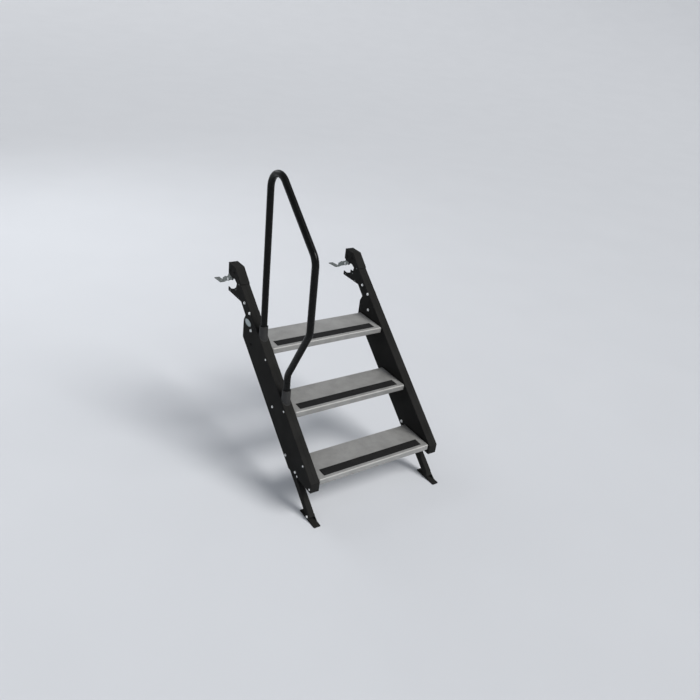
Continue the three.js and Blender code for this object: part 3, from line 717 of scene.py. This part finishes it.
def through_bolt(
    node, look, head=6.2, head_height=5.0, nut=6.2, shank=4.0, domed=False, double_dome=False, nut_look=None,
):
    """A bolt across a rail, placed by its CAD node's box.

    Sizes are in millimetres: radii of head, nut and shank, and the head's height. `nut_look` makes the nut
    a piece with a finish of its own.
    """
    low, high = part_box(node)
    side = SIDES["left" if "_left" in node else "right"]
    out = X * side
    middle = (low + high) / 2
    tip, tail = (max(low.x, high.x, key=lambda x: x * side), min(low.x, high.x, key=lambda x: x * side))
    nut_height = head_height if nut else 0
    head_face = Vector((tip, middle.y, middle.z)) - out * head_height * MM
    nut_face = Vector((tail, middle.y, middle.z)) + out * nut_height * MM
    mesh = bmesh.new()
    if domed or double_dome:
        button(mesh, head_face, out, head * MM, head_height * MM)
    else:
        washer(mesh, head_face, out, shank * MM, (head + 0.9) * MM, 1.1 * MM)
        hexagon(mesh, head_face + out * 1.1 * MM, out, head * 1.72 * MM, (head_height - 1.1) * MM)
    length = (head_face - nut_face).length + 0.4 * MM
    turned(mesh, nut_face - out * 0.2 * MM, out, [(shank * MM, 0), (shank * MM, length)], 24)
    if double_dome:
        button(mesh, nut_face, -out, nut * MM, nut_height * MM)
    elif nut:
        end = bmesh.new() if nut_look else mesh
        washer(end, nut_face, -out, shank * MM, (nut + 1.2) * MM, 1 * MM)
        hexagon(end, nut_face - out * 1 * MM, -out, nut * 1.74 * MM, (nut_height - 2) * MM)
        thread(end, nut_face - out * (nut_height - 1.5) * MM, -out, shank * 0.96 * MM, 1.5 * MM)
        if nut_look:
            piece(f"{node}_nut", end, nut_look, BODY_OF[node])
    piece(f"{node}_fine", mesh, look, BODY_OF[node], [node])


def fasteners():
    for label in SIDES:
        for i in (1, 2, 3):
            through_bolt(f"hook_bolt_{label}_{i}", "bright_bolt")
            tread_bolt_look = "black_paint" if i == len(TREADS) else "bright_bolt"
            through_bolt(f"tread_bolt_{label}_{i}", tread_bolt_look, head=5.4, head_height=4)
        for i in (1, 2):
            through_bolt(f"head_bolt_{label}_{i}", "black_paint", head=6, head_height=4, nut=6, domed=True)
        for i in (1, 2, 3, 4):
            screw = f"seam_screw_{label}_{i}"
            through_bolt(screw, "bright_bolt", head=4.8, head_height=2.5, nut=0, shank=3, domed=True)
        through_bolt(f"leg_clamp_bolt_{label}", "bright_bolt", head=5.4, head_height=4)
        through_bolt(f"foot_pin_{label}", "bright_bolt", head=5.4, head_height=3.5, nut_look="black_paint")
        through_bolt(f"latch_pin_{label}", "bright_bolt", head=6.5, head_height=2.5, nut=6, double_dome=True)


RIVETS = ((749, 600), (778, 562), (838, 535), (751, 533))   # (y, z) in mm, through each hook arm
JAW_SPACER = (838, 535)                                     # between the webs of the open jaw
STRAP_SCREW = (106, -42)                                    # low on each outer web


def rivets():
    for label, side in SIDES.items():
        mesh = bmesh.new()
        spacer = at(0, *JAW_SPACER) + X * side * (RAIL_INNER + SHEET)
        turned(mesh, spacer, X * side, [(4 * MM, 0), (4 * MM, RAIL_OUTER - RAIL_INNER - 2 * SHEET)], 20)
        for y, z in RIVETS:
            for x, way in ((RAIL_OUTER, side), (RAIL_INNER, -side)):
                seat = at(0, y, z) + X * side * x
                profile = [(3.4, -1), (3.4, 0.2), (3.0, 0.8), (2.0, 1.3), (1.2, 1.4), (1.0, 1.0)]
                turned(mesh, seat, X * way, [(r * MM, h * MM) for r, h in profile], 20)
        piece(f"arm_rivets_{label}", mesh, "zinc_plate", "frame")
        screw = bmesh.new()
        seat = at(0, *STRAP_SCREW) + X * side * RAIL_OUTER
        button(screw, seat, X * side, 4.6 * MM, 2.6 * MM)
        piece(f"strap_screw_{label}", screw, "bright_bolt", "frame")


# ---------------------------------------------------------------- latches, legs, feet and badge
def latches():
    for label in SIDES:
        plain_edges(f"latch_lever_{label}", "zinc_plate", 0.6 * MM)
        plain_edges(f"latch_bracket_{label}", "zinc_plate", 0.5 * MM)


def legs():
    for label in SIDES:
        def long_corners(mesh):
            round_edges(mesh, lambda edge: edge.calc_length() > 400 * MM, 2.6 * MM, 4)

        plain_edges(f"leg_{label}", "black_paint", 0.4 * MM, first=long_corners)


FOOT_WELD_INSET = 3.2 * MM                          # from the foot's sides
FOOT_WELD_REACH = (-30 * MM, -2 * MM)               # from the pin, on the side where the leg stays clear


def feet():
    for label, side in SIDES.items():
        node = f"foot_{label}"
        low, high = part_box(node)

        def plate_corners(mesh):
            def corner(edge):
                middle = (edge.verts[0].co + edge.verts[1].co) / 2
                at_end = min(middle.y - low.y, high.y - middle.y) < 0.1 * MM
                return at_end and abs(direction_of(edge).z) > 0.99

            round_edges(mesh, corner, 5 * MM, 6)

        plain_edges(node, "black_paint", 0.5 * MM, first=plate_corners)
        weld = bmesh.new()
        pin = (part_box(f"foot_pin_{label}")[0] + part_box(f"foot_pin_{label}")[1]) / 2
        top = low.z + SHEET
        for x in (low.x + FOOT_WELD_INSET, high.x - FOOT_WELD_INSET):
            start, end = (Vector((x, pin.y + reach, top)) for reach in FOOT_WELD_REACH)
            bead(weld, line(start, end, 1.2 * MM), 1.3 * MM, seed=5 + side)
        piece(f"foot_weld_{label}", weld, "black_paint", BODY_OF[node])


def badge():
    low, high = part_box("badge_plate")
    middle = (low + high) / 2
    half_y, half_z = (high.y - low.y) / 2, (high.z - low.z) / 2

    def ovals(steps):
        rings = []
        for scale, x in steps:
            turns = [2 * math.pi * k / 64 for k in range(64)]
            rings.append([
                Vector((x, middle.y + half_y * scale * math.cos(t), middle.z + half_z * scale * math.sin(t)))
                for t in turns
            ])
        return rings

    back, front = high.x, low.x
    rim = bmesh.new()
    depth = back - front
    steps = (
        (1.0, back), (1.0, back - 0.7 * depth), (0.985, back - 0.92 * depth), (0.96, front), (0.91, front),
        (0.885, back - 0.9 * depth), (0.87, back - 0.5 * depth), (0.87, back),
    )
    loft(rim, ovals(steps), close_path=True)
    piece("badge_rim", rim, "zinc_plate", "frame")
    field = bmesh.new()
    steps = (
        (0.868, back), (0.868, back - 0.55 * depth), (0.8, back - 0.62 * depth),
        (0.5, back - 0.74 * depth), (0.2, back - 0.78 * depth),
    )
    loft(field, ovals(steps))
    piece("badge_field", field, "badge_face", "frame", ["badge_plate"])


def inside_pieces():
    """The plates and guides inside the rails keep their CAD shape."""
    for label in SIDES:
        for node in (f"hook_plate_{label}", f"leg_guide_{label}"):
            kept = frame["nodes"][node]
            kept.data.materials.clear()
            kept.data.materials.append(LOOKS["black_paint"])


rail_shells()
hook_caps()
treads()
handrail()
sockets()
fasteners()
rivets()
latches()
legs()
feet()
badge()
inside_pieces()


# ---------------------------------------------------------------- studio
HORIZON, ZENITH, SKY_STRENGTH = (0.27, 0.30, 0.35), (0.62, 0.65, 0.70), 0.45
FLAT_RADIUS, SWEEP_WIDTH, SWEEP_HEIGHT, SWEEP_STEPS = 9, 30, 15, 16


def floor_profile():
    """(radius, height) pairs of a flat floor that sweeps up all round, far off."""
    steps = [i / SWEEP_STEPS for i in range(SWEEP_STEPS + 1)]
    return [(FLAT_RADIUS + SWEEP_WIDTH * step, SWEEP_HEIGHT * step**3) for step in steps]


AIM = Vector((0, 0, 0.6))                           # what the lamps point at
LAMPS = (                                           # name, place, kind, power, size, colour
    ("key", (1.9, -2.9, 4.5), "SUN", 2.75, math.radians(30), (1, 0.98, 0.96)),
    ("fill", (-4.0, -2.2, 2.4), "AREA", 5, 3.0, (0.93, 0.96, 1)),
    ("back", (-1.0, 4.0, 3.4), "AREA", 50, 2.6, (0.95, 0.97, 1)),
)


def studio():
    scene = bpy.context.scene
    scene.view_settings.view_transform = "Standard"
    world = bpy.data.worlds.new("studio")
    world.use_nodes = True
    view = add_node(world, "ShaderNodeTexCoord").outputs["Generated"]
    height = add_node(world, "ShaderNodeSeparateXYZ", {"Vector": view}).outputs["Z"]
    backdrop = world.node_tree.nodes["Background"]
    world.node_tree.links.new(ramp(world, height, HORIZON, ZENITH, 0.05, 0.6), backdrop.inputs["Color"])
    backdrop.inputs["Strength"].default_value = SKY_STRENGTH
    scene.world = world
    floor_mesh = bmesh.new()
    loft(floor_mesh, [circle(rise * Z, Z, radius, 64) for radius, rise in floor_profile()], cap=False)
    middle = [e for e in floor_mesh.edges if e.is_boundary and e.verts[0].co.xy.length < FLAT_RADIUS + 0.1]
    bmesh.ops.edgeloop_fill(floor_mesh, edges=middle)
    bmesh.ops.recalc_face_normals(floor_mesh, faces=floor_mesh.faces)
    for face in floor_mesh.faces:
        face.smooth = True
    data = bpy.data.meshes.new("floor")
    floor_mesh.to_mesh(data)
    floor_mesh.free()
    floor = bpy.data.objects.new("floor", data)
    scene.collection.objects.link(floor)
    material, shader, place = new_material("floor", Roughness=0.85)
    clouds = noise_of(material, place, 0.6, 2)
    drive(material, shader, "Base Color", ramp(material, clouds, (0.60, 0.62, 0.65), (0.63, 0.65, 0.68)))
    data.materials.append(material)
    for name, place, kind, power, size, colour in LAMPS:
        light = bpy.data.lights.new(name, kind)
        light.energy, light.color = power, colour
        if kind == "SUN":
            light.angle = size
        else:
            light.size = size
        lamp = bpy.data.objects.new(name, light)
        lamp.location = place
        lamp.rotation_mode = "QUATERNION"
        lamp.rotation_quaternion = (AIM - Vector(place)).to_track_quat("-Z", "Y")
        scene.collection.objects.link(lamp)


CAMERA_PLACE = Vector((-1.66287, -2.35222, 2.07676))
CAMERA_FORWARD = Vector((0.5344283, 0.70164067, -0.47126082))
CAMERA_RIGHT = Vector((0.82686483, -0.54956383, 0.11947446))
CAMERA_LENS, CAMERA_SENSOR = 35.27, 36              # millimetres


def camera():
    data = bpy.data.cameras.new("camera")
    made = bpy.data.objects.new("camera", data)
    bpy.context.scene.collection.objects.link(made)
    data.sensor_width = CAMERA_SENSOR
    data.lens = CAMERA_LENS
    up = CAMERA_RIGHT.cross(CAMERA_FORWARD)
    turn = Matrix((CAMERA_RIGHT, up, -CAMERA_FORWARD)).transposed().to_4x4()
    made.matrix_world = Matrix.Translation(CAMERA_PLACE) @ turn
    bpy.context.scene.camera = made


studio()
camera()
